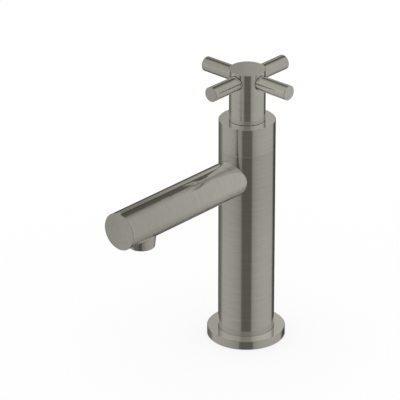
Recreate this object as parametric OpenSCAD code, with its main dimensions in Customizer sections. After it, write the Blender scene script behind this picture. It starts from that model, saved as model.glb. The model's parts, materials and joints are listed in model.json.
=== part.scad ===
// Deck-mounted pillar tap with a four-arm cross handle.
// Millimetres. Origin on the column's axis at the underside of the base
// flange, +Z up, the spout points along -Y. The valve is drawn closed.

/* [Column] */
// Outer diameter of the column and of the cover above it
column_d = 36; // [32:0.5:42]
// Wall of the column tube
column_wall = 2.5; // [1.5:0.1:3.5]
// Height of the column's top edge, where the seam shows
column_h = 132; // [105:1:180]
// Bevel on each side of the seam
seam_bevel = 0.15; // [0.1:0.05:0.5]
// Height of the thin shadow line in the seam
seam_gap = 0.05; // [0.05:0.05:0.3]

/* [Base] */
// Outer diameter of the base flange
flange_d = 50; // [46:0.5:64]
// Thickness of the base flange
flange_t = 6; // [4.5:0.25:9]
// Bevel on the flange's top edge
flange_bevel = 0.3; // [0.1:0.05:1]
// How far the foot's rim stands out under the flange
foot_rim_step = 2; // [1:0.1:3]
// Thickness of the foot's rim
foot_rim_t = 2.5; // [1.5:0.1:3.5]
// Height of the foot inside the column
foot_h = 16; // [13:0.5:24]
// Height of the gasket in its groove
gasket_h = 1.5; // [0.8:0.1:2.2]

/* [Deck connections] */
// Tapping diameter of the water inlet
inlet_d = 9; // [7:0.1:11]
// Distance of the inlet behind the axis
inlet_offset = 6; // [5.5:0.1:7.5]
// Tapping diameter of the fixing stud's socket
stud_d = 6.8; // [5:0.1:8.5]
// Distance of the stud's socket in front of the axis
stud_offset = 7; // [6:0.1:8]
// Depth of the stud's socket
stud_depth = 11; // [8:0.5:12.5]

/* [Spout] */
// Outer diameter of the spout
spout_d = 24; // [20:0.5:28]
// Wall of the spout tube
spout_wall = 1.5; // [1:0.1:2]
// Distance of the spout's centre line below the seam
spout_drop = 17.4; // [15:0.1:20]
// Distance of the spout's end face from the column's axis
spout_len = 118; // [85:1:180]
// Thickness of the end cap that shows
cap_t = 2; // [1.2:0.1:4]
// Depth of the end cap's plug in the tube
cap_plug_h = 3.5; // [2:0.1:5]
// Wall of the end cap's plug
cap_plug_wall = 1.4; // [0.8:0.1:2.5]
// Bevel round the end face
cap_bevel = 0.15; // [0.15:0.05:1.1]

/* [Outlet] */
// Distance of the outlet from the end face
outlet_inset = 20.2; // [16:0.2:30]
// How far the nozzle stands out below the spout
nozzle_drop = 4.7; // [3.5:0.1:9]
// Taper of the nozzle's outside, in degrees
nozzle_taper = 6.1; // [0:0.1:9]
// How far the nozzle's top stays inside the spout's bore
nozzle_margin = 1; // [0.6:0.1:1.6]
// Wall of the nozzle at its mouth
nozzle_wall = 0.95; // [0.6:0.05:1.4]
// Depth of the mouth below the aerator
mouth_depth = 2; // [1.2:0.1:2.6]
// Height of the aerator's housing
aerator_h = 5.6; // [4.5:0.1:6]
// Height of the aerator's washer
aerator_washer_h = 1.2; // [0.6:0.1:1.4]

/* [Cover] */
// Height of the cover above the seam
cover_h = 18.85; // [15.5:0.05:26]
// Wall of the cover
cover_wall = 2.5; // [1.6:0.1:3]
// Thickness of the cover's top
cover_top_t = 3.5; // [2.6:0.1:4.2]
// Bevel on the cover's top edge
cover_bevel = 0.25; // [0.1:0.05:1.2]
// How far the collar goes down into the column
collar_depth = 7.5; // [5:0.1:9]
// How far the collar stands up inside the cover
collar_rise = 5; // [4:0.1:6]

/* [Handle] */
// Outer diameter of the hub
hub_d = 23; // [21.5:0.5:28]
// Height of the hub above its gap
hub_h = 34; // [30:0.5:44]
// Gap between the hub and the cover
hub_gap = 0.15; // [0.1:0.05:0.8]
// Bevel on the hub's edges
hub_bevel = 0.15; // [0.1:0.05:0.6]
// Diameter of the arms
arm_d = 9.5; // [7:0.25:10.5]
// Distance of an arm's end from the axis
arm_reach = 34.3; // [26:0.1:46]
// Distance of the arms' centre line below the hub's top
arm_drop = 6.5; // [6:0.1:9]
// How far the arms sink into the hub
arm_sink = 4; // [2.5:0.1:5]
// Width of the groove in the hub round each arm
arm_groove_w = 0.3; // [0.1:0.05:0.6]
// Depth of that groove below the hub's round
arm_groove_h = 1.5; // [1.3:0.1:2.3]
// Bevel round the end of an arm
arm_bevel = 0.2; // [0.1:0.05:1]
// Diameter of the arms' screwed ends
arm_screw_d = 5; // [3:0.25:6]
// Diameter of the grub screw
grub_d = 4; // [3:0.25:5]
// How far the grub screw lies below the hub's surface
grub_sink = 0.7; // [0.3:0.1:1.2]
// Height of the grub screw above the hub's underside
grub_rise = 8; // [6:0.25:9.5]

/* [Valve] */
// Diameter of the ceramic discs
disc_d = 15; // [12.5:0.25:17]
// Thickness of each ceramic disc
disc_t = 3.5; // [2.8:0.1:4.2]
// Wall of the valve's barrel round the discs
barrel_wall = 1.6; // [1.2:0.1:2.2]
// Height of the valve's screw thread above the barrel's surface
thread_rise = 1.25; // [0.8:0.05:1.5]
// Height of the room with the side windows
window_room_h = 7; // [5.5:0.1:9]
// Height of the spindle's collar
stop_collar_h = 3.2; // [2.4:0.1:4]
// Diameter of the spindle's stem
stem_d = 10.2; // [9:0.1:11]
// Diameter over the spindle's splines
spline_d = 8; // [7:0.1:8.6]
// Depth of the splines inside the hub
spline_depth = 12; // [10:0.25:14.5]
// Diameter of the hole through the valve seat
seat_hole_d = 11; // [8:0.25:12]
// Thickness of the valve seat
seat_t = 6; // [4:0.25:8]
// Diameter of the tapped hole in the spindle's top
spindle_hole_d = 3.4; // [2.4:0.1:4.4]
// Depth of the tapped hole in the spindle's top
spindle_hole_h = 8; // [4:0.25:12]
// Turn of the handle from closed to open, in degrees
handle_turn = 90; // [85:1:95]

/* [Hidden] */
$fn = 96;

// Finishes
nickel = [0.60, 0.59, 0.55];
raw_brass = [0.78, 0.66, 0.38];
ceramic = [0.93, 0.92, 0.88];
black_rubber = [0.10, 0.10, 0.11];
white_plastic = [0.88, 0.88, 0.86];
spring_steel = [0.70, 0.71, 0.73];

// Clearances
braze_gap = 0.05;
slide_gap = 0.15;
run_gap = 0.08;
thread_gap = 0.05;
seal_gap = 0.05;
float_gap = 0.03;
cut_over = 1;

// Threads
fine_pitch = 1;
fine_depth = 0.4;
screw_pitch = 0.8;
screw_depth = 0.3;
pipe_pitch = 1.814;
pipe_depth = 0.75;

// Column and base
column_r = column_d / 2;
column_ir = column_r - column_wall;
flange_r = flange_d / 2;
foot_rim_r = column_r + foot_rim_step;
// Where the gasket's groove lies between the foot's rim and the flange's edge
groove_shares = [0.28, 0.72];
flange_ring_in = foot_rim_r + slide_gap;
groove_in = flange_ring_in + (flange_r - flange_ring_in) * groove_shares[0];
groove_out = flange_ring_in + (flange_r - flange_ring_in) * groove_shares[1];
foot_bevel = 0.3;

// Spout and outlet
spout_r = spout_d / 2;
spout_ir = spout_r - spout_wall;
spout_z = column_h - spout_drop;
outlet_y = spout_len - outlet_inset;
nozzle_top_r = spout_ir - nozzle_margin;
// How deep the nozzle's top edge lies in the tube's wall
nozzle_edge_share = 0.7;
nozzle_rise = spout_r - sqrt(pow(spout_ir, 2) - pow(nozzle_top_r, 2)) - spout_wall * nozzle_edge_share;
nozzle_h = nozzle_drop + nozzle_rise;
nozzle_r = nozzle_top_r - nozzle_h * tan(nozzle_taper);
nozzle_z = spout_z - spout_r - nozzle_drop;
mouth_r = nozzle_r - nozzle_wall;
mouth_step = 0.4;
nozzle_bore_r = mouth_r - mouth_step;
nozzle_ledge = 1.7;
nozzle_bevel = 0.25;
aerator_z = nozzle_z + mouth_depth;
aerator_r = nozzle_bore_r - thread_gap;
aerator_wall = 1.2;
aerator_ir = aerator_r - aerator_wall;
aerator_lip = 0.5;
grille_t = 1.4;
flow_disc_t = 1.6;
grille_cell = 1.45;
grille_bar = 0.35;
grille_rim = 0.5;
grille_hole_r = (grille_cell - grille_bar) / sqrt(3);
grille_rings = floor((aerator_ir - braze_gap - grille_rim - grille_hole_r) / grille_cell);
jet_r = 0.5;
jets = 12;
jet_ring_share = 0.72;

// Cover and collar
cover_z = column_h + cover_h;
cover_ir = column_r - cover_wall;
cover_plate_z = cover_z - cover_top_t;
// The outer part of the cover's wall that stands clear of the column's edge
seam_step_share = 0.35;
seam_step_r = column_r - cover_wall * seam_step_share;
collar_top = column_h + collar_rise;
collar_r = column_ir - braze_gap;
collar_screw_r = cover_ir - thread_gap;
ring_cord_r = 0.6;
ring_squeeze = 0.05;

// Handle heights
hub_z = cover_z + hub_gap;
hub_top = hub_z + hub_h;
arm_z = hub_top - arm_drop;
hub_r = hub_d / 2;
arm_r = arm_d / 2;
arm_screw_r = arm_screw_d / 2;
arm_seat_r = hub_r - arm_sink;
arm_core = 0.8;
arm_screw_end = arm_screw_r + arm_core;
arm_fit = 0.05;

// Spindle, spline and hub bore
stem_r = stem_d / 2;
spline_r = spline_d / 2;
spline_teeth = 20;
// Corners of one tooth, as shares of its pitch: two on the crest, two on the root
tooth_shares = [0, 0.3, 0.5, 0.8];
spline_cut = 0.4;
spline_fit = 0.08;
insert_wall = 2.9;
insert_r = spline_r + spline_fit + insert_wall;
hub_bore_r = insert_r + braze_gap;
hub_neck_wall = 1.45;
hub_neck_r = hub_bore_r + hub_neck_wall;
hub_neck_h = 2.5;
hub_neck_z = cover_z - hub_neck_h;
hub_web = 2;
hub_bore_top = arm_z - arm_r - hub_web;
insert_z = hub_z;
insert_top = hub_bore_top - braze_gap;
spindle_top = hub_z + spline_depth;
bush_wall = 0.8;
bush_lip = 1;
bush_lip_t = 0.8;
bush_ir = hub_neck_r + run_gap;
bush_r = bush_ir + bush_wall;
bush_drop = 0.3;

// Valve, from the collar's top down
disc_r = disc_d / 2;
disc_fit = 0.1;
barrel_ir = disc_r + disc_fit;
barrel_r = barrel_ir + barrel_wall;
valve_thread_r = barrel_r + thread_rise;
valve_bore_r = stem_r + run_gap;
collar_ir = valve_thread_r + thread_gap;
shoulder_drop = 13;
washer_t = 0.6;
shoulder_z = collar_top - shoulder_drop;
stop_collar_top = shoulder_z - washer_t;
stop_collar_z = stop_collar_top - stop_collar_h;
moving_top = stop_collar_z - window_room_h;
moving_z = moving_top - disc_t;
fixed_z = moving_z - disc_t;
seal_h = 2.4;
seal_recess = 1.3;
seat_z = fixed_z - seal_h;
barrel_z = fixed_z - seal_recess;
thread_lead = 1;
valve_thread_z = shoulder_z + thread_lead;
thread_relief = 1;
seat_land = 1;
seat_land_r = barrel_r + slide_gap;

// Valve, from the collar's top up
valve_flange_t = 3;
// How far the valve's flange reaches across the collar's top
flange_reach_share = 0.6;
valve_flange_r = collar_ir + (collar_screw_r - fine_depth - collar_ir) * flange_reach_share;
// The collar's own ring lies in this part of the flange's reach
collar_ring_share = 0.5;
clip_t = 0.7;
clip_gap = 0.05;
clip_head = 0.5;
clip_wall = 2.6;
valve_neck_top = hub_neck_z - clip_head - clip_t - clip_gap;
valve_neck_wall = 1.8;
valve_neck_r = valve_bore_r + valve_neck_wall;
hex_head = 0.6;
hex_top = min(cover_plate_z - bush_lip_t, valve_neck_top) - hex_head;
hex_z = collar_top + valve_flange_t;
hex_step = 0.3;
hex_r = valve_flange_r - hex_step;
// The hexagon reaches down into the flange and in to the middle of the neck's wall
hex_core_r = (valve_bore_r + valve_neck_r) / 2;
hex_foot_z = (collar_top + hex_z) / 2;

// Ports, windows and the quarter-turn stop
port_in = 2.8;
port_rim = 1.3;
port_out = disc_r - port_rim;
port_angle = 80;
port_at = 90;
window_angle = 110;
window_inset = 0.6;
blade_t = 3;
blade_fit = 0.06;
blade_depth = 1.3;
blade_rim = 0.5;
stop_angle = 40;
stop_slack = 1;
stop_depth = 1.6;
collar_fit = 0.2;
lug_r = max(barrel_ir - stop_depth, stem_r + collar_fit * 2);
stop_floor = lug_r - collar_fit;
blade_l = (stop_floor - blade_rim) * 2;
ear_w = 2.8;
ear_reach = 0.9;
stem_ring_at_shares = [0.25, 0.62];

// A profile turned round the Z axis
module lathe(outline) {
    rotate_extrude() polygon(outline);
}

// A plain ring
module ring(r_in, r_out, z, h) {
    lathe([[r_in, z], [r_out, z], [r_out, z + h], [r_in, z + h]]);
}

// A rubber ring of round cord
module cord_ring(r_mid, z, cord_r) {
    rotate_extrude() translate([r_mid, z]) circle(r = cord_r, $fn = 32);
}

// A slice of a ring between two angles
module slice(r_in, r_out, from, to, z, h) {
    rotate([0, 0, from])
        rotate_extrude(angle = to - from)
            translate([r_in, z]) square([r_out - r_in, h]);
}

// Points of a screw thread's outline, drawn as even ridges from z0 to z1
function ridges(r_root, r_crest, z0, z1, pitch) =
    let (n = max(1, round(abs(z1 - z0) / pitch)), step = (z1 - z0) / n)
    [for (i = [0 : n - 1]) each [[r_root, z0 + i * step], [r_crest, z0 + (i + 0.5) * step]],
     [r_root, z1]];

// Points of a splined outline with flat-topped teeth
function spline_points(r, cut) =
    [for (i = [0 : spline_teeth - 1], k = [0 : 3])
        let (a = (i + tooth_shares[k]) * 360 / spline_teeth, rr = k < 2 ? r : r - cut)
        [rr * cos(a), rr * sin(a)]];

// Lays a piece that is drawn along +Z out along the spout, from the axis
module along_spout() {
    translate([0, 0, spout_z]) rotate([90, 0, 0]) children();
}

// Round foot ring that hides the hole in the deck
module base_flange() {
    color(nickel)
        lathe([
            [flange_ring_in, 0], [groove_in, 0], [groove_in, gasket_h],
            [groove_out, gasket_h], [groove_out, 0], [flange_r - foot_bevel, 0],
            [flange_r, foot_bevel], [flange_r, flange_t - flange_bevel],
            [flange_r - flange_bevel, flange_t], [column_r + slide_gap, flange_t],
            [column_r + slide_gap, foot_rim_t], [flange_ring_in, foot_rim_t]
        ]);
}

// Soft ring that seals the flange to the deck
module deck_gasket() {
    color(black_rubber)
        ring(groove_in + seal_gap, groove_out - seal_gap, 0, gasket_h - seal_gap);
}

// Turned foot brazed into the column, with the inlet and the stud's socket
module foot_plug() {
    color(raw_brass)
        difference() {
            union() {
                cylinder(r = foot_rim_r, h = foot_rim_t);
                cylinder(r = column_ir - braze_gap, h = foot_h);
            }
            translate([0, inlet_offset, -cut_over])
                cylinder(d = inlet_d, h = foot_h + cut_over * 2);
            translate([0, -stud_offset, -cut_over])
                cylinder(d = stud_d, h = stud_depth + cut_over);
        }
}

// Straight tube between the foot and the seam
module column_tube() {
    color(nickel)
        difference() {
            lathe([
                [column_ir, foot_rim_t], [column_r, foot_rim_t],
                [column_r, column_h - seam_bevel], [column_r - seam_bevel, column_h],
                [column_ir, column_h]
            ]);
            along_spout() cylinder(r = spout_r + braze_gap, h = column_r + cut_over);
        }
}

// Disc across the column with the hole that the valve opens and closes
module valve_seat() {
    seat_hole_r = seat_hole_d / 2;
    color(raw_brass)
        lathe([
            [seat_hole_r, seat_z - seat_t], [column_ir - braze_gap, seat_z - seat_t],
            [column_ir - braze_gap, seat_z - seat_land], [seat_land_r, seat_z - seat_land],
            [seat_land_r, seat_z], [seat_hole_r, seat_z]
        ]);
}

// Threaded insert that carries the valve and the cover
module column_collar() {
    ring_room = ring_cord_r * 2 + ring_squeeze;
    ring_z = column_h + seam_bevel;
    top_ring_r = collar_ir + (valve_flange_r - collar_ir) * collar_ring_share;
    color(raw_brass)
        difference() {
            lathe(concat(
                [[collar_ir, column_h - collar_depth], [collar_r, column_h - collar_depth],
                 [collar_r, column_h - seam_bevel],
                 [cover_ir - ring_room, column_h - seam_bevel],
                 [cover_ir - ring_room, ring_z + ring_room]],
                ridges(collar_screw_r - fine_depth, collar_screw_r,
                       ring_z + ring_room, collar_top, fine_pitch),
                [[collar_ir, collar_top]]
            ));
            ring(top_ring_r - ring_cord_r - seal_gap, top_ring_r + ring_cord_r + seal_gap,
                 collar_top - ring_room, ring_room + cut_over);
        }
}

// Rubber ring that centres the cover over the seam
module cover_ring() {
    color(black_rubber)
        cord_ring(cover_ir - ring_squeeze - ring_cord_r,
                  column_h + seam_bevel + ring_cord_r, ring_cord_r);
}

// Screwed cover over the valve, closed at the top round the hub's neck
module cover_sleeve() {
    hole_r = bush_r + braze_gap;
    color(nickel)
        lathe([
            [cover_ir, column_h], [seam_step_r, column_h],
            [seam_step_r, column_h + seam_gap], [column_r - seam_bevel, column_h + seam_gap],
            [column_r, column_h + seam_gap + seam_bevel], [column_r, cover_z - cover_bevel],
            [column_r - cover_bevel, cover_z], [hole_r, cover_z],
            [hole_r, cover_plate_z], [cover_ir, cover_plate_z]
        ]);
}

// Plastic bush that the hub's neck turns in
module guide_bush() {
    color(white_plastic)
        lathe([
            [bush_ir, cover_plate_z - bush_lip_t], [bush_r + bush_lip, cover_plate_z - bush_lip_t],
            [bush_r + bush_lip, cover_plate_z], [bush_r, cover_plate_z],
            [bush_r, cover_z - bush_drop], [bush_ir, cover_z - bush_drop]
        ]);
}

// Outside of the nozzle, made larger by a clearance
module nozzle_cone(grow, over) {
    translate([0, -outlet_y, nozzle_z - over])
        cylinder(r1 = nozzle_r + grow - over * tan(nozzle_taper),
                 r2 = nozzle_top_r + grow + over * tan(nozzle_taper), h = nozzle_h + over * 2);
}

// Round tube of the spout, shaped to the column's bore
module spout_tube() {
    color(nickel)
        difference() {
            along_spout() cylinder(r = spout_r, h = spout_len - cap_t);
            along_spout()
                translate([0, 0, -cut_over])
                    cylinder(r = spout_ir, h = spout_len + cut_over);
            translate([0, 0, spout_z - spout_d])
                cylinder(r = column_ir, h = spout_d * 2);
            nozzle_cone(braze_gap, braze_gap);
        }
}

// Cap with a plug that closes the spout's end
module spout_end_cap() {
    plug_r = spout_ir - braze_gap;
    plug_ir = plug_r - cap_plug_wall;
    cap_z = spout_len - cap_t;
    color(nickel)
        along_spout()
            lathe([
                [0, cap_z], [plug_ir, cap_z], [plug_ir, cap_z - cap_plug_h],
                [plug_r, cap_z - cap_plug_h], [plug_r, cap_z], [spout_r, cap_z],
                [spout_r, spout_len - cap_bevel], [spout_r - cap_bevel, spout_len],
                [0, spout_len]
            ]);
}

// Tapered nozzle let into the spout's underside
module outlet_nozzle() {
    ledge_r = nozzle_bore_r - nozzle_ledge;
    ledge_z = mouth_depth + aerator_h + aerator_washer_h;
    color(nickel)
        translate([0, -outlet_y, nozzle_z])
            lathe([
                [mouth_r, 0], [nozzle_r - nozzle_bevel, 0],
                [nozzle_r + nozzle_bevel * tan(nozzle_taper), nozzle_bevel],
                [nozzle_top_r, nozzle_h], [ledge_r, nozzle_h], [ledge_r, ledge_z],
                [nozzle_bore_r, ledge_z], [nozzle_bore_r, mouth_depth],
                [mouth_r, mouth_depth]
            ]);
}

// Screwed body of the aerator
module aerator_housing() {
    color(white_plastic)
        translate([0, -outlet_y, aerator_z])
            lathe(concat(
                [[aerator_ir - aerator_lip, 0]],
                ridges(aerator_r - fine_depth, aerator_r, 0, aerator_h, fine_pitch),
                [[aerator_ir, aerator_h], [aerator_ir, aerator_lip],
                 [aerator_ir - aerator_lip, aerator_lip]]
            ));
}

// Washer between the aerator and the nozzle's ledge
module aerator_washer() {
    color(black_rubber)
        translate([0, -outlet_y, aerator_z + aerator_h])
            ring(nozzle_bore_r - nozzle_ledge, nozzle_bore_r - seal_gap, 0, aerator_washer_h);
}

// Disc with a ring of fine jets that mixes air into the water
module aerator_flow_disc() {
    disc_z = aerator_h - flow_disc_t;
    color(white_plastic)
        translate([0, -outlet_y, aerator_z + disc_z])
            difference() {
                cylinder(r = aerator_ir - braze_gap, h = flow_disc_t);
                for (i = [0 : jets - 1])
                    rotate([0, 0, i * 360 / jets])
                        translate([aerator_ir * jet_ring_share, 0, -cut_over])
                            cylinder(r = jet_r, h = flow_disc_t + cut_over * 2, $fn = 8);
            }
}

// Honeycomb that straightens the stream
module aerator_grille() {
    color(white_plastic)
        translate([0, -outlet_y, aerator_z + aerator_lip])
            difference() {
                cylinder(r = aerator_ir - braze_gap, h = grille_t);
                for (i = [-grille_rings : grille_rings], j = [-grille_rings : grille_rings])
                    if (abs(i + j) <= grille_rings)
                        translate([(i + j / 2) * grille_cell, j * grille_cell * sqrt(3) / 2, -cut_over])
                            rotate([0, 0, 30])
                                cylinder(r = grille_hole_r, h = grille_t + cut_over * 2, $fn = 6);
            }
}

// Brass body of the valve, with a hexagon, side windows and the stop's lug
module valve_housing() {
    window_z = moving_top + window_inset;
    window_h = window_room_h - window_inset * 2;
    thread_root = valve_thread_r - min(pipe_depth, thread_rise);
    color(raw_brass)
        difference() {
            union() {
                lathe(concat(
                    [[barrel_ir, barrel_z], [barrel_r, barrel_z], [barrel_r, valve_thread_z]],
                    ridges(thread_root, valve_thread_r, valve_thread_z,
                           collar_top - thread_relief, pipe_pitch),
                    [[thread_root, collar_top], [valve_flange_r, collar_top],
                     [valve_flange_r, hex_z], [valve_neck_r, hex_z],
                     [valve_neck_r, valve_neck_top], [valve_bore_r, valve_neck_top],
                     [valve_bore_r, shoulder_z], [barrel_ir, shoulder_z]]
                ));
                difference() {
                    translate([0, 0, hex_foot_z])
                        cylinder(r = hex_r, h = hex_top - hex_foot_z, $fn = 6);
                    translate([0, 0, hex_foot_z - cut_over])
                        cylinder(r = hex_core_r, h = hex_top - hex_foot_z + cut_over * 2);
                }
                slice(lug_r, barrel_ir + barrel_wall / 2, -stop_angle / 2, stop_angle / 2,
                      stop_collar_z, stop_collar_h - float_gap);
            }
            for (side = [port_at, port_at + 180])
                slice(barrel_ir - collar_fit, barrel_r + cut_over,
                      side - window_angle / 2, side + window_angle / 2, window_z, window_h);
            for (side = [0, 180])
                rotate([0, 0, side])
                    translate([disc_r - ear_reach, -ear_w / 2 - disc_fit, barrel_z - cut_over])
                        cube([barrel_wall + ear_reach * 2, ear_w + disc_fit * 2,
                              fixed_z + disc_t - barrel_z + cut_over]);
        }
}

// Rubber ring between the valve's flange and the collar
module valve_flange_ring() {
    top_ring_r = collar_ir + (valve_flange_r - collar_ir) * collar_ring_share;
    color(black_rubber)
        cord_ring(top_ring_r, collar_top - ring_squeeze - ring_cord_r, ring_cord_r);
}

// Rubber seal between the valve seat and the fixed disc
module valve_seat_seal() {
    color(black_rubber)
        lathe([
            [port_out, seat_z], [barrel_r, seat_z], [barrel_r, barrel_z - seal_gap],
            [disc_r - seal_gap, barrel_z - seal_gap], [disc_r - seal_gap, fixed_z],
            [port_out, fixed_z]
        ]);
}

// A ceramic disc with two ports, centred on a given angle
module ported_disc(z, middle) {
    difference() {
        translate([0, 0, z]) cylinder(r = disc_r, h = disc_t);
        for (side = [0, 180])
            slice(port_in, port_out, middle + side - port_angle / 2,
                  middle + side + port_angle / 2, z - cut_over, disc_t + cut_over * 2);
    }
}

// Lower ceramic disc, held still in the barrel by two ears
module fixed_disc() {
    color(ceramic)
        union() {
            ported_disc(fixed_z, port_at);
            for (side = [0, 180])
                rotate([0, 0, side])
                    translate([port_out, -ear_w / 2, fixed_z])
                        cube([disc_r + ear_reach - port_out, ear_w, disc_t]);
        }
}

// Upper ceramic disc, turned by the spindle's blade. With the handle at its open
// end its ports lie over those of the lower disc
module moving_disc() {
    slot_l = blade_l + blade_fit * 2;
    slot_w = blade_t + blade_fit * 2;
    color(ceramic)
        difference() {
            ported_disc(moving_z, port_at - handle_turn);
            rotate([0, 0, -handle_turn])
                translate([-slot_l / 2, -slot_w / 2, moving_top - blade_depth - blade_fit])
                    cube([slot_l, slot_w, blade_depth + blade_fit + cut_over]);
        }
}

// Spindle with its stop collar, blade, ring grooves and splines
module spindle() {
    collar_ro = barrel_ir - collar_fit;
    groove_r = valve_bore_r - ring_squeeze - ring_cord_r * 2 - seal_gap;
    clip_core_r = spline_r - spline_cut * 2;
    spline_z = valve_neck_top + clip_t + clip_gap * 2;
    color(raw_brass)
        difference() {
            union() {
                lathe([
                    [0, stop_collar_z], [collar_ro, stop_collar_z], [collar_ro, stop_collar_top],
                    [stem_r, stop_collar_top], [stem_r, valve_neck_top],
                    [clip_core_r, valve_neck_top], [clip_core_r, spline_z + spline_cut],
                    [0, spline_z + spline_cut]
                ]);
                translate([0, 0, spline_z])
                    linear_extrude(height = spindle_top - spline_z)
                        polygon(spline_points(spline_r, spline_cut));
                rotate([0, 0, -handle_turn])
                    translate([-blade_l / 2, -blade_t / 2, moving_top - blade_depth])
                        cube([blade_l, blade_t, blade_depth + window_room_h + stop_collar_h / 2]);
            }
            slice(stop_floor, collar_ro + cut_over,
                  -stop_angle / 2 - handle_turn - stop_slack, stop_angle / 2 + stop_slack,
                  stop_collar_z - cut_over, stop_collar_h + cut_over * 2);
            for (at = stem_ring_at_shares)
                ring(groove_r, stem_r + cut_over, stem_ring_z(at) - ring_cord_r - seal_gap,
                     ring_cord_r * 2 + seal_gap * 2);
            translate([0, 0, spindle_top - spindle_hole_h])
                cylinder(d = spindle_hole_d, h = spindle_hole_h + cut_over);
        }
}

// Height of a stem ring, as a share of the stem from the shoulder to the neck's top
function stem_ring_z(at) = shoulder_z + (valve_neck_top - shoulder_z) * at;

// Slippery washer between the spindle's collar and the shoulder
module thrust_washer() {
    color(white_plastic)
        ring(stem_r + seal_gap, barrel_ir - collar_fit, stop_collar_top, washer_t - float_gap);
}

// Two rubber rings round the stem
module spindle_rings() {
    color(black_rubber)
        for (at = stem_ring_at_shares)
            cord_ring(valve_bore_r - ring_squeeze - ring_cord_r, stem_ring_z(at), ring_cord_r);
}

// Open spring clip that keeps the spindle in the housing
module spindle_clip() {
    clip_in = spline_r - spline_cut * 2 + clip_gap;
    color(spring_steel)
        slice(clip_in, clip_in + clip_wall, stop_angle, 360 - stop_angle,
              valve_neck_top + clip_gap, clip_t);
}

// Hub of the handle, bored from below for the insert
module handle_hub() {
    screw_room = hub_r + cut_over;
    color(nickel)
        difference() {
            lathe([
                [0, hub_bore_top], [hub_bore_r, hub_bore_top], [hub_bore_r, hub_neck_z],
                [hub_neck_r, hub_neck_z], [hub_neck_r, hub_z], [hub_r - hub_bevel, hub_z],
                [hub_r, hub_z + hub_bevel], [hub_r, hub_top - hub_bevel],
                [hub_r - hub_bevel, hub_top], [0, hub_top]
            ]);
            for (turn = [0 : 90 : 270])
                translate([0, 0, arm_z])
                    rotate([0, 90, turn]) {
                        translate([0, 0, arm_seat_r])
                            cylinder(r = arm_r + arm_fit, h = arm_sink + cut_over);
                        translate([0, 0, hub_r - arm_groove_h])
                            cylinder(r = arm_r + arm_groove_w, h = arm_groove_h + cut_over);
                        translate([0, 0, arm_screw_end - arm_fit])
                            cylinder(r = arm_screw_r + arm_fit, h = arm_seat_r);
                    }
            translate([0, 0, hub_z + grub_rise])
                rotate([-90, 0, 0]) cylinder(d = grub_d + arm_fit * 2, h = screw_room);
        }
}

// Splined sleeve pressed into the hub
module spline_insert() {
    insert_h = insert_top - insert_z;
    color(raw_brass)
        translate([0, 0, insert_z])
            difference() {
                cylinder(r = insert_r, h = insert_h);
                translate([0, 0, -cut_over])
                    linear_extrude(height = insert_h + cut_over * 2)
                        polygon(spline_points(spline_r + spline_fit, spline_cut));
                translate([0, 0, grub_rise])
                    rotate([-90, 0, 0]) cylinder(d = grub_d + arm_fit * 2, h = insert_r + cut_over);
            }
}

// Grub screw at the back of the hub, with a hexagon socket
module grub_screw() {
    screw_in = spline_r + clip_gap;
    screw_out = hub_r - grub_sink;
    socket_d = grub_d / 2;
    color(spring_steel)
        translate([0, 0, hub_z + grub_rise])
            rotate([-90, 0, 0])
                difference() {
                    lathe(concat(
                        [[0, screw_in]],
                        ridges(grub_d / 2 - screw_depth, grub_d / 2, screw_in, screw_out, screw_pitch),
                        [[0, screw_out]]
                    ));
                    translate([0, 0, screw_out - socket_d])
                        cylinder(d = socket_d, h = socket_d + cut_over, $fn = 6);
                }
}

// One arm of the cross, along +X, with its screwed end in the hub
module arm() {
    color(nickel)
        translate([0, 0, arm_z])
            rotate([0, 90, 0])
                lathe(concat(
                    [[0, arm_screw_end]],
                    ridges(arm_screw_r - screw_depth, arm_screw_r, arm_screw_end, arm_seat_r, screw_pitch),
                    [[arm_r, arm_seat_r], [arm_r, arm_reach - arm_bevel],
                     [arm_r - arm_bevel, arm_reach], [0, arm_reach]]
                ));
}

module arm_front() { rotate([0, 0, -90]) arm(); }
module arm_right() { arm(); }
module arm_back() { rotate([0, 0, 90]) arm(); }
module arm_left() { rotate([0, 0, 180]) arm(); }

base_flange();
deck_gasket();
foot_plug();
column_tube();
valve_seat();
column_collar();
cover_ring();
cover_sleeve();
guide_bush();
spout_tube();
spout_end_cap();
outlet_nozzle();
aerator_housing();
aerator_washer();
aerator_flow_disc();
aerator_grille();
valve_housing();
valve_flange_ring();
valve_seat_seal();
fixed_disc();
moving_disc();
spindle();
thrust_washer();
spindle_rings();
spindle_clip();
handle_hub();
spline_insert();
grub_screw();
arm_front();
arm_right();
arm_back();
arm_left();
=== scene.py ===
# %% [markdown]
# # A basin tap with a cross handle, in brushed nickel
#
# The tap is all turned metal: a column, a cover above a seam, a hub with four
# arms, and a straight spout with a nozzle under its end. Its shapes and sizes
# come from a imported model, so this lesson is about its looks: a camera that
# stands where the photographer stood, a studio that a mirror-like metal can
# reflect, and finishes that know how each piece lay in the lathe.

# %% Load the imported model
import json
from math import cos, pi, radians, sin

import bmesh
import bpy
from mathutils import Matrix, Vector


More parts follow.
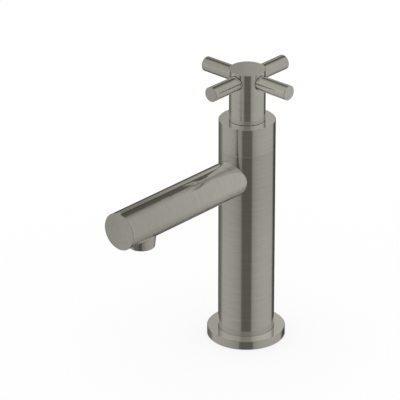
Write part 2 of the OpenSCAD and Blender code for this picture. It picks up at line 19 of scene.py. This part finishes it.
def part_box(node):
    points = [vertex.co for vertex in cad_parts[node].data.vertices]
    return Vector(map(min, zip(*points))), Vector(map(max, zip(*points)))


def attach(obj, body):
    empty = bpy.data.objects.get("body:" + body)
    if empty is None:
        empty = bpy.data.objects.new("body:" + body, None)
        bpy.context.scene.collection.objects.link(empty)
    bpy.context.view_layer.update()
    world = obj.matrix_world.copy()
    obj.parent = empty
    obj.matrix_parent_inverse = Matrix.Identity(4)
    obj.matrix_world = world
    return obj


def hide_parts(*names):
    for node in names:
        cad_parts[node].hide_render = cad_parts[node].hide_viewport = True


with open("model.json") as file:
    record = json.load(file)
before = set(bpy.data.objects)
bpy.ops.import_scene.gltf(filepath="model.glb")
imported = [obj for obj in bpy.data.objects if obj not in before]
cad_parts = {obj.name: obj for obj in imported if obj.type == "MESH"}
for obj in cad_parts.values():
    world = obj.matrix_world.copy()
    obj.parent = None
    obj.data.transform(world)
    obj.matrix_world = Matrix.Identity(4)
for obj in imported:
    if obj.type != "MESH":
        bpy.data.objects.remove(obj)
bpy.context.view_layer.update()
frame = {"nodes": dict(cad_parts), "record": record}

mm = 0.001
body_of = {node: body for body, nodes in frame["record"]["behaviour"]["bodies"].items() for node in nodes}
print(len(frame["nodes"]), "pieces on the bodies", sorted(set(body_of.values())))

# %% [markdown]
# ## The camera
#
# A product photo like this is taken from far away with a long lens, which
# keeps upright edges nearly parallel. The camera could be placed by eye, but
# a cylinder's outline gives itself away at once when it is half a degree off.
# So the height, the turn and the distance were fitted to the edges of the
# column, the flange, the spout and the arms, and are written here as plain
# angles and lengths.

# %% Camera
camera_turn = radians(41.26)
camera_tilt = radians(25.67)
camera_distance = 2391.6 * mm
camera_pivot = Vector((0, 0, 92.5)) * mm
camera_aim = Vector((-22.64, -19.07, 93.74)) * mm
camera_lens = 339.7
camera_reach = 12

to_camera = Vector((
    sin(camera_turn) * cos(camera_tilt),
    -cos(camera_turn) * cos(camera_tilt),
    sin(camera_tilt),
))
camera = bpy.data.objects.new("camera", bpy.data.cameras.new("camera"))
bpy.context.scene.collection.objects.link(camera)
camera.location = camera_pivot + to_camera * camera_distance
camera.rotation_euler = (camera_aim - camera.location).to_track_quat("-Z", "Y").to_euler()
camera.data.lens = camera_lens
camera.data.clip_end = camera_reach
bpy.context.scene.camera = camera
bpy.context.scene.view_settings.view_transform = "Standard"
print("camera stands at, in mm:", [round(v / mm) for v in camera.location])

# %% [markdown]
# ## One way to add a node
#
# A shader is a graph of nodes: each has settings, such as its kind of noise,
# and sockets, which hold a value or a link. They could be put together by hand
# in the node editor, but a script can be read and run again. Every node here
# comes from `add`: first its settings, then the values or links of its
# sockets, because a setting can change which sockets there are.

# %% Nodes
class Tree:
    """The nodes of one material or of the world."""

    def __init__(self, owner):
        owner.use_nodes = True
        self.nodes = owner.node_tree.nodes
        self.links = owner.node_tree.links
        self.nodes.clear()

    def add(self, kind, settings=None, sockets=None, out=0):
        """Adds a node and returns its output, or several if out names several."""
        node = self.nodes.new("ShaderNode" + kind)
        for name, value in (settings or {}).items():
            setattr(node, name, value)
        for name, value in (sockets or {}).items():
            if isinstance(value, Socket):
                self.links.new(value.socket, node.inputs[name])
            else:
                node.inputs[name].default_value = value
        if isinstance(out, tuple):
            return [Socket(self, node.outputs[o]) for o in out]
        return Socket(self, node.outputs[out]) if node.outputs else None

    def mix_shaders(self, factor, low, high):
        """The shader low where the factor is 0 and high where it is 1."""
        return self.add("MixShader", sockets={0: factor, 1: low, 2: high})


def colour(red, green, blue):
    return (red, green, blue, 1)


black = colour(0, 0, 0)
paper_white = colour(1, 1, 1)
print("nodes come from Tree.add")

# %% [markdown]
# ## Node maths that reads like maths
#
# A formula in nodes soon becomes a long list of links, and nobody can read it
# any more. Here one small class wraps an output socket, so that `1 - mask`
# adds its own Math node. Where a vector takes part, the same signs add Vector
# Math nodes, and colours go through a Mix node, because a Math node turns them
# grey. Its colour sockets share their names with others, so they are picked by
# number. `rise` is a soft step, and most masks below are products of such
# steps.

# %% Socket maths
mix_factor = 0
mix_low = 6
mix_high = 7
mix_result = 2


def maths(operation, *values, out=0):
    """One Math node, or one Vector Math node where a vector takes part."""
    linked = [v for v in values if isinstance(v, Socket)]
    tree = linked[0].tree
    if not any(v.socket.type == "VECTOR" for v in linked):
        return tree.add("Math", {"operation": operation}, dict(enumerate(values)))
    spread = [(v,) * 3 if isinstance(v, (int, float)) else v for v in values]
    return tree.add("VectorMath", {"operation": operation}, dict(enumerate(spread)), out)


class Socket:
    """An output socket that can be used in a sum."""

    def __init__(self, tree, socket):
        self.tree = tree
        self.socket = socket

    def __add__(self, other):
        return maths("ADD", self, other)

    def __radd__(self, other):
        return maths("ADD", other, self)

    def __sub__(self, other):
        return maths("SUBTRACT", self, other)

    def __rsub__(self, other):
        return maths("SUBTRACT", other, self)

    def __mul__(self, other):
        return maths("MULTIPLY", self, other)

    def __rmul__(self, other):
        return maths("MULTIPLY", other, self)

    def __truediv__(self, other):
        return maths("DIVIDE", self, other)

    def __rtruediv__(self, other):
        return maths("DIVIDE", other, self)

    def __pow__(self, other):
        return maths("POWER", self, other)

    def __rpow__(self, other):
        return maths("POWER", other, self)

    def __abs__(self):
        return maths("ABSOLUTE", self)

    def dot(self, other):
        return maths("DOT_PRODUCT", self, other, out="Value")

    def rise(self, start, end):
        """A soft step that goes from 0 at start to 1 at end."""
        sockets = {"Value": self, "From Min": start, "From Max": end}
        return self.tree.add("MapRange", {"interpolation_type": "SMOOTHSTEP"}, sockets)

    def blend(self, low, high):
        """The number low where this value is 0 and high where it is 1."""
        return low + self * (high - low)

    def mix(self, low, high):
        """The colour low where this value is 0 and high where it is 1."""
        sockets = {mix_factor: self, mix_low: low, mix_high: high}
        return self.tree.add("Mix", {"data_type": "RGBA"}, sockets, mix_result)


print("sockets take + - * / ** and abs")

# %% [markdown]
# ## The room that the metal reflects
#
# Polished metal has hardly any colour of its own: what the eye reads as its
# shading is the room in it, and the photo shows that room quite clearly. Real
# softboxes and black flags could be built round the tap, but a world shader
# that draws them by direction gives no noise and can't hide behind a piece.
# Cycles would also sample the world like a lamp. Such a sample doesn't count
# as a reflection and would bring plain white into the metal, so it is off.
#
# Every ray that leaves the metal has an azimuth, which is 0 towards the camera
# and grows to the photo's right, and a height above the table's level, both in
# degrees. `aside` is how far it points to the photo's right, from -1 to 1. In
# the next cells a pair of numbers says where a soft edge starts and ends.

# %% Where a ray goes
photo_right = Vector((cos(camera_turn), sin(camera_turn), 0))
photo_near = Vector((sin(camera_turn), -cos(camera_turn), 0))
degrees = 180 / pi

world = bpy.data.worlds.new("studio")
world.cycles.sampling_method = "NONE"
bpy.context.scene.world = world
sky = Tree(world)
ray = sky.add("TexCoord", out="Generated")
aside = ray.dot(photo_right)
azimuth = maths("ARCTAN2", aside, ray.dot(photo_near)) * degrees
height = maths("ARCSINE", ray.dot((0, 0, 1))) * degrees
print("azimuth 0 looks along", [round(v, 2) for v in photo_near])

# %% [markdown]
# ## The side walls
#
# Beside the flag in front the light is dim, and it grows towards both sides,
# quickly at first and then slowly. An exponential curve does that with three
# numbers, where a ramp would need many stops. Far down the left wall loses
# more than half of its light, except at its far end, and the right one only a
# little. Two of the arms look into the far left, and there the wall gets a
# touch of extra light round the table's level.

# %% Side walls
flag_half = 20
wall_change = (-0.02, 0.02)
foot_edge = (-36, -31)
foot_change = (0.03, 0.07)
foot_left_end = (70, 88)
foot_left_lost = 0.6
foot_right_lost = 0.12
far_left_edge = (-0.8, -0.6)
extra_foot = (-20, -10)
extra_top = (8, 34)
extra_share = 0.14

side_turn = maths("MAXIMUM", abs(azimuth), flag_half)


def side_wall(brightest, dimmed, spread):
    """Light that is dimmed most beside the flag and grows to its brightest."""
    return brightest - dimmed * maths("EXPONENT", (flag_half - side_turn) / spread)


right_wall = side_wall(brightest=1, dimmed=0.4, spread=22)
left_wall = side_wall(brightest=0.97, dimmed=0.38, spread=34)
wall = aside.rise(*wall_change).blend(left_wall, right_wall)

foot = 1 - height.rise(*foot_edge)
foot_left = foot_left_lost - foot_left_lost * abs(azimuth).rise(*foot_left_end)
wall = wall * (1 - foot * aside.rise(*foot_change).blend(foot_left, foot_right_lost))

far_left = 1 - aside.rise(*far_left_edge)
extra = far_left * height.rise(*extra_foot) * (1 - height.rise(*extra_top))
wall = wall * (1 + extra_share * extra)
print("walls start", flag_half, "degrees beside the middle")

# %% [markdown]
# ## The flag in front
#
# A flag is a black cloth that a photographer puts where light isn't wanted.
# One stands in front of the tap and makes the dark band down the middle of the
# column and the cover. Without it a cylinder looks flat. Its two upright edges
# are fairly sharp, and from the table's level upwards it fades out slowly. Far
# down only its left half goes on, and is a little darker.

# %% Flag in front
flag_dark = colour(0.272, 0.264, 0.246)
flag_foot_dark = colour(0.2, 0.194, 0.18)
flag_middle = 0.7
flag_edge = (19.4, 21.4)
flag_top = (0, 43)
flag_foot_end = (3, 5)

flag = (1 - abs(azimuth - flag_middle).rise(*flag_edge)) * (1 - height.rise(*flag_top))
flag = flag * (1 - foot * azimuth.rise(*flag_foot_end))
room = flag.mix(wall, foot.mix(flag_dark, flag_foot_dark))
print("flag reaches", flag_top[1], "degrees up")

# %% [markdown]
# ## Behind the tap
#
# What stands behind the tap shows where the metal is seen at a flat angle: in
# the dark lines along both sides of each tube, and in all the flat tops. There
# is a soft dark backdrop, darkest in its middle. Its top dips right behind the
# tap, and its right edge gets softer further down. Above the dip comes a lit
# gap, and then one dark bar. The flat tops and the crown of the spout reflect
# the gap, and the bar makes the dark band beside that crown. Higher up the
# back of the room is dimmer too. `back_turn` is 0 in front of the tap and 180
# behind it, on either side.

# %% Behind the tap
back_middle = 2
half_circle = 180
ceiling_side = (105, 160)
ceiling_edge = (38, 46)
ceiling_lost = 0.4
right_change = (-0.1, 0.1)
backdrop_left = (114, 130)
backdrop_right = (120.5, 136)
backdrop_height = 17
backdrop_dip = (166, 172)
backdrop_light = 0.155
backdrop_slope = 0.17
backdrop_bowl = 0.4
softer_below = -25.7
softer_start = 0.7
softer_end = -1.7
bar_side = (138, 153)
bar_foot = (28.5, 32)
bar_top = (47, 50)
bar_dark = colour(0.25, 0.25, 0.22)

back_turn = maths("PINGPONG", abs(azimuth - back_middle), half_circle)
ceiling = back_turn.rise(*ceiling_side) * height.rise(*ceiling_edge) * ceiling_lost
room = ceiling.mix(room, black)

right = aside.rise(*right_change)
below = maths("MINIMUM", height - softer_below, 0) * right
edge_start = right.blend(backdrop_left[0], backdrop_right[0]) + softer_start * below
edge_end = right.blend(backdrop_left[1], backdrop_right[1]) + softer_end * below
top_start = backdrop_height - backdrop_height * back_turn.rise(*backdrop_dip)
top_end = top_start + backdrop_height
backdrop = back_turn.rise(edge_start, edge_end) * (1 - height.rise(top_start, top_end))
room = backdrop.mix(room, backdrop_light - backdrop_slope * aside + backdrop_bowl * aside * aside)

bar = back_turn.rise(*bar_side) * height.rise(*bar_foot) * (1 - height.rise(*bar_top))
room = bar.mix(room, bar_dark)
print("lit gap behind, in degrees of height:", backdrop_height, "to", bar_foot[0])

# %% [markdown]
# ## Light
#
# Only reflections see the room. The camera and all dull surfaces see plain
# white light at a strength of 1, at which a colour renders about as it is
# written, and that light is also the white behind the tap.

# %% Light
seen_by_metal = sky.add("LightPath", out="Is Glossy Ray")
light = sky.add("Background", sockets={"Color": seen_by_metal.mix(paper_white, room), "Strength": 1.0})
sky.add("OutputWorld", sockets={"Surface": light})
print("studio made of", len(sky.nodes), "nodes")

# %% [markdown]
# ## The floor
#
# The tap stands on a pale floor that catches its soft shadow. In the photo the
# paper is nearly pure white, so the camera sees three quarters of it glowing
# and one quarter lit. The metal there reflects no table, so reflections pass
# through the floor to the room below it. Two Mix Shaders driven by Light Path
# do both, and the floor is a round mesh of one face.

# %% Floor
floor_radius = 8
floor_points = 96
floor_glow = 0.75

floor_mesh = bmesh.new()
bmesh.ops.create_circle(floor_mesh, cap_ends=True, segments=floor_points, radius=floor_radius)
floor_data = bpy.data.meshes.new("floor")
floor_mesh.to_mesh(floor_data)
floor_mesh.free()
floor = bpy.data.objects.new("floor", floor_data)
bpy.context.scene.collection.objects.link(floor)

paper = bpy.data.materials.new("paper")
tree = Tree(paper)
from_camera, from_metal = tree.add("LightPath", out=("Is Camera Ray", "Is Glossy Ray"))
dull = tree.add("BsdfDiffuse", sockets={"Color": paper_white})
bright = tree.add("Emission", sockets={"Color": paper_white, "Strength": 1.0})
clear = tree.add("BsdfTransparent")
paper_look = tree.mix_shaders(from_camera * floor_glow, dull, bright)
paper_look = tree.mix_shaders(from_metal, paper_look, clear)
tree.add("OutputMaterial", sockets={"Surface": paper_look})
floor_data.materials.append(paper)
print("floor radius", floor_radius, "m")

# %% [markdown]
# ## The lathe's lines
#
# Each piece was turned on a lathe and then brushed while it went round, so the
# lines run round its axis, and on a flat end they are rings. A picture of
# scratches would need every piece unwrapped. One formula covers side and end
# instead: how far along the axis plus how far out from it. Noise that is
# squeezed along that sum and stretched round the axis makes the lines.

# %% Lathe lines
noise_range = (0.3, 0.7)
line_detail = 2.0


def lathe_place(tree):
    """How far round, out and along a point lies on its piece's own Z axis."""
    place = tree.add("TexCoord", out="Object")
    x, y, z = tree.add("SeparateXYZ", sockets={"Vector": place}, out=("X", "Y", "Z"))
    radius = (x * x + y * y) ** 0.5
    return x / radius, y / radius, z + radius


def lathe_lines(tree, pitch, sweep):
    """Noise in lines round the axis. Sweep is how many streaks lie in a radian."""
    round_x, round_y, along = lathe_place(tree)
    sockets = {"X": round_x * sweep, "Y": round_y * sweep, "Z": along / pitch}
    place = tree.add("CombineXYZ", sockets=sockets)
    return tree.add("TexNoise", sockets={"Vector": place, "Scale": 1.0, "Detail": line_detail})


print("noise is used between", *noise_range)

# %% [markdown]
# ## Brushed nickel
#
# Nickel is a warm grey. Its lines change the colour by a few hundredths only
# and lift the roughness a little. The reflection is sharp round the column and
# softer up and down, which is what the Anisotropic socket is for. Specular
# Tint holds back the rim, where a metal would else mirror the room in full.
# The normal tells a side from a flat end, and each can have a painted tone of
# its own: painted light and shade that lifts or lowers the nickel's grey.
#
# Metal that shows in metal is darkened twice by its grey. In the photo such
# spots are hardly darker than the rest, so nickel that is seen in another
# piece mirrors the room with almost no grey of its own. A Mix driven by Is
# Glossy Ray does that. This lighter colour is a painted reflection, not the
# nickel's own colour.

# %% Brushed nickel
nickel_light = Vector((0.357, 0.343, 0.3))
nickel_dark = Vector((0.321, 0.308, 0.27))
# Painted reflection: the lighter colour of nickel that is seen in another piece.
nickel_in_nickel_painted_light = colour(1.0, 1.0, 0.98)
nickel_rim = colour(0.68, 0.68, 0.66)
nickel_rough = (0.08, 0.13)
nickel_softness = 0.6
fine_pitch = 0.16 * mm
fine_sweep = 2.0
broad_pitch = 1.4 * mm
broad_sweep = 0.9
fine_share = 0.5
line_relief = 0.15
line_depth = 0.01 * mm
flat_end = (0.9, 0.99)


def nickel_shade(lines, place, tone, lost):
    """The two shades of nickel along the lines, times a painted tone of light and shade, less a painted
    falloff.
    """
    shade = lines.mix(colour(*(nickel_dark * tone)), colour(*(nickel_light * tone)))
    return lost(place).mix(shade, black) if lost else shade


def brushed_nickel(name, side_painted_light=1.0, end_painted_light=1.0, side_painted_falloff=None, end_painted_falloff=None):
    """The finish of one piece: the painted tones of light and shade of its side and of its flat ends, and
    what painted falloffs take from them.
    """
    material = bpy.data.materials.new(name)
    tree = Tree(material)
    fine = lathe_lines(tree, fine_pitch, fine_sweep)
    broad = lathe_lines(tree, broad_pitch, broad_sweep)
    lines = (fine * fine_share + broad * (1 - fine_share)).rise(*noise_range)
    place, normal = tree.add("TexCoord", out=("Object", "Normal"))
    # Painted light and shade: the side and the flat ends get their own tones and falls.
    side = nickel_shade(lines, place, side_painted_light, side_painted_falloff)
    end = nickel_shade(lines, place, end_painted_light, end_painted_falloff)
    tone = abs(normal.dot((0, 0, 1))).rise(*flat_end).mix(side, end)
    seen_in_metal = tree.add("LightPath", out="Is Glossy Ray")
    bump = tree.add("Bump", sockets={"Strength": line_relief, "Distance": line_depth, "Height": fine})
    metal = tree.add("BsdfPrincipled", sockets={
        "Base Color": seen_in_metal.mix(tone, nickel_in_nickel_painted_light),
        "Metallic": 1.0,
        "Roughness": fine.blend(*nickel_rough),
        "Specular Tint": nickel_rim,
        "Anisotropic": nickel_softness,
        "Normal": bump,
    })
    tree.add("OutputMaterial", sockets={"Surface": metal})
    return material


nickel = brushed_nickel("brushed_nickel")
print("fine lines every", fine_pitch / mm, "mm, broad ones every", broad_pitch / mm, "mm")

# %% [markdown]
# ## Light that falls off, painted into the colour
#
# The photo's softboxes and flags stood close to the tap, so their light falls
# off along the spout and changes from the foot of the column to its top. A
# world has directions and no distances. Lamps of a real size could give that
# fall, but they would bring noise and their own outlines, so a slight fall of
# the metal's tone, painted shade, stands for it. `fade` says how much is lost
# between two points of a piece, and `leftward` does that across a flat top,
# whose right side is the brighter one in the photo: painted light and shade.

# %% Painted falls of tone
column_share = 0.085
cover_share = 0.035


def fade(near, far, share):
    """Painted shade: the share of the tone that is lost little by little on the way from near to far, in
    mm.
    """
    start = Vector(near) * mm
    way = Vector(far) * mm - start

    def lost(place):
        return (place - start).dot(way / way.length_squared).rise(0, 1) * share
    return lost


def leftward(radius, share):
    """Painted light and shade: the share of the tone that a flat top loses from the photo's right to its
    left.
    """
    return fade(photo_right * radius, photo_right * -radius, share)


column_fall = fade(near=(0, 0, 60), far=(0, 0, 108), share=column_share)
cover_fall = fade(near=(0, 0, 147), far=(0, 0, 133), share=cover_share)
print("the column loses", column_share, "of its tone upwards, the cover", cover_share, "downwards")

# %% [markdown]
# ## Painted tones of the spout and the other pieces
#
# The spout reaches furthest out, so it loses most on its way to the tip, and
# its crown, the topmost fifth of a millimetre, loses still more: painted shade.
# Its points are given in its own place: Z runs along the spout and Y is up. The
# other tones are painted light and shade as well, small corrections found by
# setting the render beside the photo. All flat tops mirror the same lit gap,
# so only a painted tone can tell them apart.

# %% Painted tones of the pieces
hub_radius = 10.5
cover_radius = 18
flange_radius = 25
spout_radius = 12
spout_tip = (0, 0, 118)

spout_fall = fade(near=(0, 0, 12), far=spout_tip, share=0.19)
crown_fall = fade(near=(0, 0, 30), far=spout_tip, share=0.38)
crown_line = fade(near=(0, 11.8, 0), far=(0, 11.93, 0), share=1.0)


def spout_painted_falloff(place):
    """Painted shade: what the spout loses towards its tip, and what its crown loses as well."""
    return spout_fall(place) + crown_line(place) * crown_fall(place)


# Painted shade: the end cap's tone falls across its end face.
tip_fall = fade(near=(spout_radius, 0, 0), far=(-spout_radius, 0, 0), share=0.13)
hub_top_fall = leftward(hub_radius, share=0.2)
cover_top_fall = leftward(cover_radius, share=0.13)
flange_top_fall = leftward(flange_radius, share=0.14)

# Painted light and shade: each of these copies of the nickel gets lighter or darker tones.
nickel_hub = brushed_nickel(
    "brushed_nickel_hub", side_painted_light=1.06, end_painted_light=0.97, end_painted_falloff=hub_top_fall)
nickel_cover = brushed_nickel(
    "brushed_nickel_cover", side_painted_light=1.03, end_painted_light=1.16, side_painted_falloff=cover_fall, end_painted_falloff=cover_top_fall)
nickel_column = brushed_nickel("brushed_nickel_column", side_painted_falloff=column_fall)
nickel_flange = brushed_nickel("brushed_nickel_flange", end_painted_light=1.3, end_painted_falloff=flange_top_fall)
nickel_spout = brushed_nickel("brushed_nickel_spout", side_painted_light=1.11, side_painted_falloff=spout_painted_falloff)
nickel_tip = brushed_nickel(
    "brushed_nickel_tip", side_painted_light=0.935, end_painted_light=0.935, side_painted_falloff=tip_fall, end_painted_falloff=tip_fall)
toned = (nickel_hub, nickel_cover, nickel_column, nickel_flange, nickel_spout, nickel_tip)
print("finishes with a tone:", ", ".join(material.name for material in toned))

# %% [markdown]
# ## Finishes inside
#
# The valve, the seals and the aerator lie inside, but they are real pieces and
# come out when the tap is taken apart, so each gets a finish with a grain of
# its own. One function can serve them all: two colours and two roughnesses,
# and a pattern that goes from the first to the second.

# %% Finishes inside
inner_relief = 0.4
grain_detail = 3.0


def finish(name, low, high, pattern, rough, metallic=0.0, depth=0.0):
    """A Principled finish that goes from low to high with its pattern."""
    material = bpy.data.materials.new(name)
    tree = Tree(material)
    mask = pattern(tree)
    sockets = {
        "Base Color": mask.mix(colour(*low), colour(*high)),
        "Metallic": metallic,
        "Roughness": mask.blend(*rough),
    }
    if depth:
        bump = {"Strength": inner_relief, "Distance": depth, "Height": mask}
        sockets["Normal"] = tree.add("Bump", sockets=bump)
    surface = tree.add("BsdfPrincipled", sockets=sockets)
    tree.add("OutputMaterial", sockets={"Surface": surface})
    return material


def grain(size):
    """A pattern of even noise whose patches have that size."""
    def pattern(tree):
        place = tree.add("TexCoord", out="Object")
        sockets = {"Vector": place / size, "Scale": 1.0, "Detail": grain_detail}
        return tree.add("TexNoise", sockets=sockets).rise(*noise_range)
    return pattern


print("patterns ready: grain and the lathe's lines")

# %% [markdown]
# ## Bare metal inside
#
# The foot, the collar, the valve and the spindle are turned from brass that
# nobody polishes, so the tool's marks stay and are wider than brushed lines.
# The spring clip and the grub screw are stainless steel, drawn and cut, with
# no marks of a lathe: an even grain is enough.

# %% Brass and steel
brass_pitch = 0.25 * mm
brass_sweep = 0.6
steel_grain = 0.3 * mm


def turning_marks(tree):
    """Tool marks round the axis."""
    return lathe_lines(tree, brass_pitch, brass_sweep).rise(*noise_range)


machined_brass = finish(
    "machined_brass", low=(0.56, 0.39, 0.15), high=(0.70, 0.51, 0.22),
    pattern=turning_marks, rough=(0.22, 0.36), metallic=1.0, depth=0.01 * mm)
spring_steel = finish(
    "spring_steel", low=(0.42, 0.43, 0.45), high=(0.50, 0.51, 0.53),
    pattern=grain(steel_grain), rough=(0.2, 0.34), metallic=1.0, depth=0.004 * mm)
print("tool marks every", brass_pitch / mm, "mm")

# %% [markdown]
# ## Rubber, plastic and ceramic
#
# Rubber seals are nearly black and dull, with a faint bloom that a coarse
# grain in the roughness shows. The bush, the thrust washer and the aerator are
# moulded plastic, whose skin is a little uneven. The two discs of the valve
# are ceramic that was lapped flat until no water gets between them, so they
# get no bump, only fine specks and a smoother surface.

# %% Rubber, plastic and ceramic
rubber_grain = 0.9 * mm
plastic_grain = 0.5 * mm
ceramic_grain = 0.25 * mm

seal_rubber = finish(
    "seal_rubber", low=(0.016, 0.016, 0.018), high=(0.03, 0.03, 0.032),
    pattern=grain(rubber_grain), rough=(0.55, 0.72), depth=0.01 * mm)
white_plastic = finish(
    "white_plastic", low=(0.72, 0.72, 0.69), high=(0.79, 0.79, 0.76),
    pattern=grain(plastic_grain), rough=(0.38, 0.5), depth=0.006 * mm)
white_ceramic = finish(
    "white_ceramic", low=(0.80, 0.78, 0.73), high=(0.87, 0.85, 0.80),
    pattern=grain(ceramic_grain), rough=(0.14, 0.24))
print("grains in mm:", [round(size / mm, 2) for size in (rubber_grain, plastic_grain, ceramic_grain)])

# %% [markdown]
# ## Dressing the pieces
#
# A piece of the imported model keeps its mesh and only gets its finish. The
# record says which slot each piece takes, so one loop dresses them all. Four
# nickel pieces then get the one with their own painted tone of light and shade.

# %% Dress the pieces
finishes = {
    "brushed_nickel": nickel,
    "machined_brass": machined_brass,
    "spring_steel": spring_steel,
    "seal_rubber": seal_rubber,
    "white_plastic": white_plastic,
    "white_ceramic": white_ceramic,
}


def dress(piece, material):
    piece.data.materials.clear()
    piece.data.materials.append(material)


for part in frame["record"]["subparts"]:
    dress(frame["nodes"][part["node"]], finishes[part["material_slot"]])
dress(frame["nodes"]["handle_hub"], nickel_hub)
dress(frame["nodes"]["cover_sleeve"], nickel_cover)
dress(frame["nodes"]["column_tube"], nickel_column)
dress(frame["nodes"]["base_flange"], nickel_flange)

# %% [markdown]
# ## Pieces on their own axis
#
# The flange, the column, the cover and the hub were turned about the tap's own
# axis, so the lathe formula fits them as they are. The spout, its end cap, the
# nozzle and the arms were turned about axes of their own. Their shape is right,
# but the lines would run across them, and so would the sharp side of the
# reflection. So each gets a copy whose local Z is the axis that it was turned
# about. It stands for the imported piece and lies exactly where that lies.

# %% Pieces on their own axis
def on_own_axis(node, centre, along, material):
    """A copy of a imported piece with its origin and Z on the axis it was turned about."""
    turned = Vector((0, 0, 1)).rotation_difference(Vector(along)).to_matrix().to_4x4()
    place = Matrix.Translation(centre) @ turned
    mesh = frame["nodes"][node].data.copy()
    mesh.transform(place.inverted())
    piece = bpy.data.objects.new(node + "_turned", mesh)
    bpy.context.scene.collection.objects.link(piece)
    piece.matrix_world = place
    dress(piece, material)
    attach(piece, body_of[node])
    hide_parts(node)


def middle(node):
    low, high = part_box(node)
    return (low + high) / 2


spout_centre = Vector((0, 0, middle("spout_end_cap").z))
on_own_axis("spout_tube", spout_centre, (0, -1, 0), nickel_spout)
on_own_axis("spout_end_cap", spout_centre, (0, -1, 0), nickel_tip)
on_own_axis("outlet_nozzle", middle("outlet_nozzle"), (0, 0, 1), nickel)
print("spout's axis", round(spout_centre.z / mm, 1), "mm high")

# %% [markdown]
# ## The four arms
#
# The arms are four equal rods. Opposite ones reflect the same part of the
# room, and still differ in the photo, most likely because the softboxes stood
# so close. So each arm has a painted tone of its own, painted light and shade:
# the front one has the darkest end face, and the left one the darkest side.

# %% Arms
arm_centre = Vector((0, 0, middle("arm_front").z))
# Painted light and shade: a tone for each arm's side and end face.
arms = {
    "front": {"along": (0, -1, 0), "side_painted_light": 0.98, "end_painted_light": 0.9},
    "right": {"along": (1, 0, 0), "side_painted_light": 1.1, "end_painted_light": 1.1},
    "back": {"along": (0, 1, 0), "side_painted_light": 1.03, "end_painted_light": 1.03},
    "left": {"along": (-1, 0, 0), "side_painted_light": 0.93, "end_painted_light": 0.93},
}
for side, arm in arms.items():
    nickel_arm = brushed_nickel("brushed_nickel_arm_" + side, arm["side_painted_light"], arm["end_painted_light"])
    on_own_axis("arm_" + side, arm_centre, arm["along"], nickel_arm)
print(len(arms), "arms, axis", round(arm_centre.z / mm, 1), "mm high")
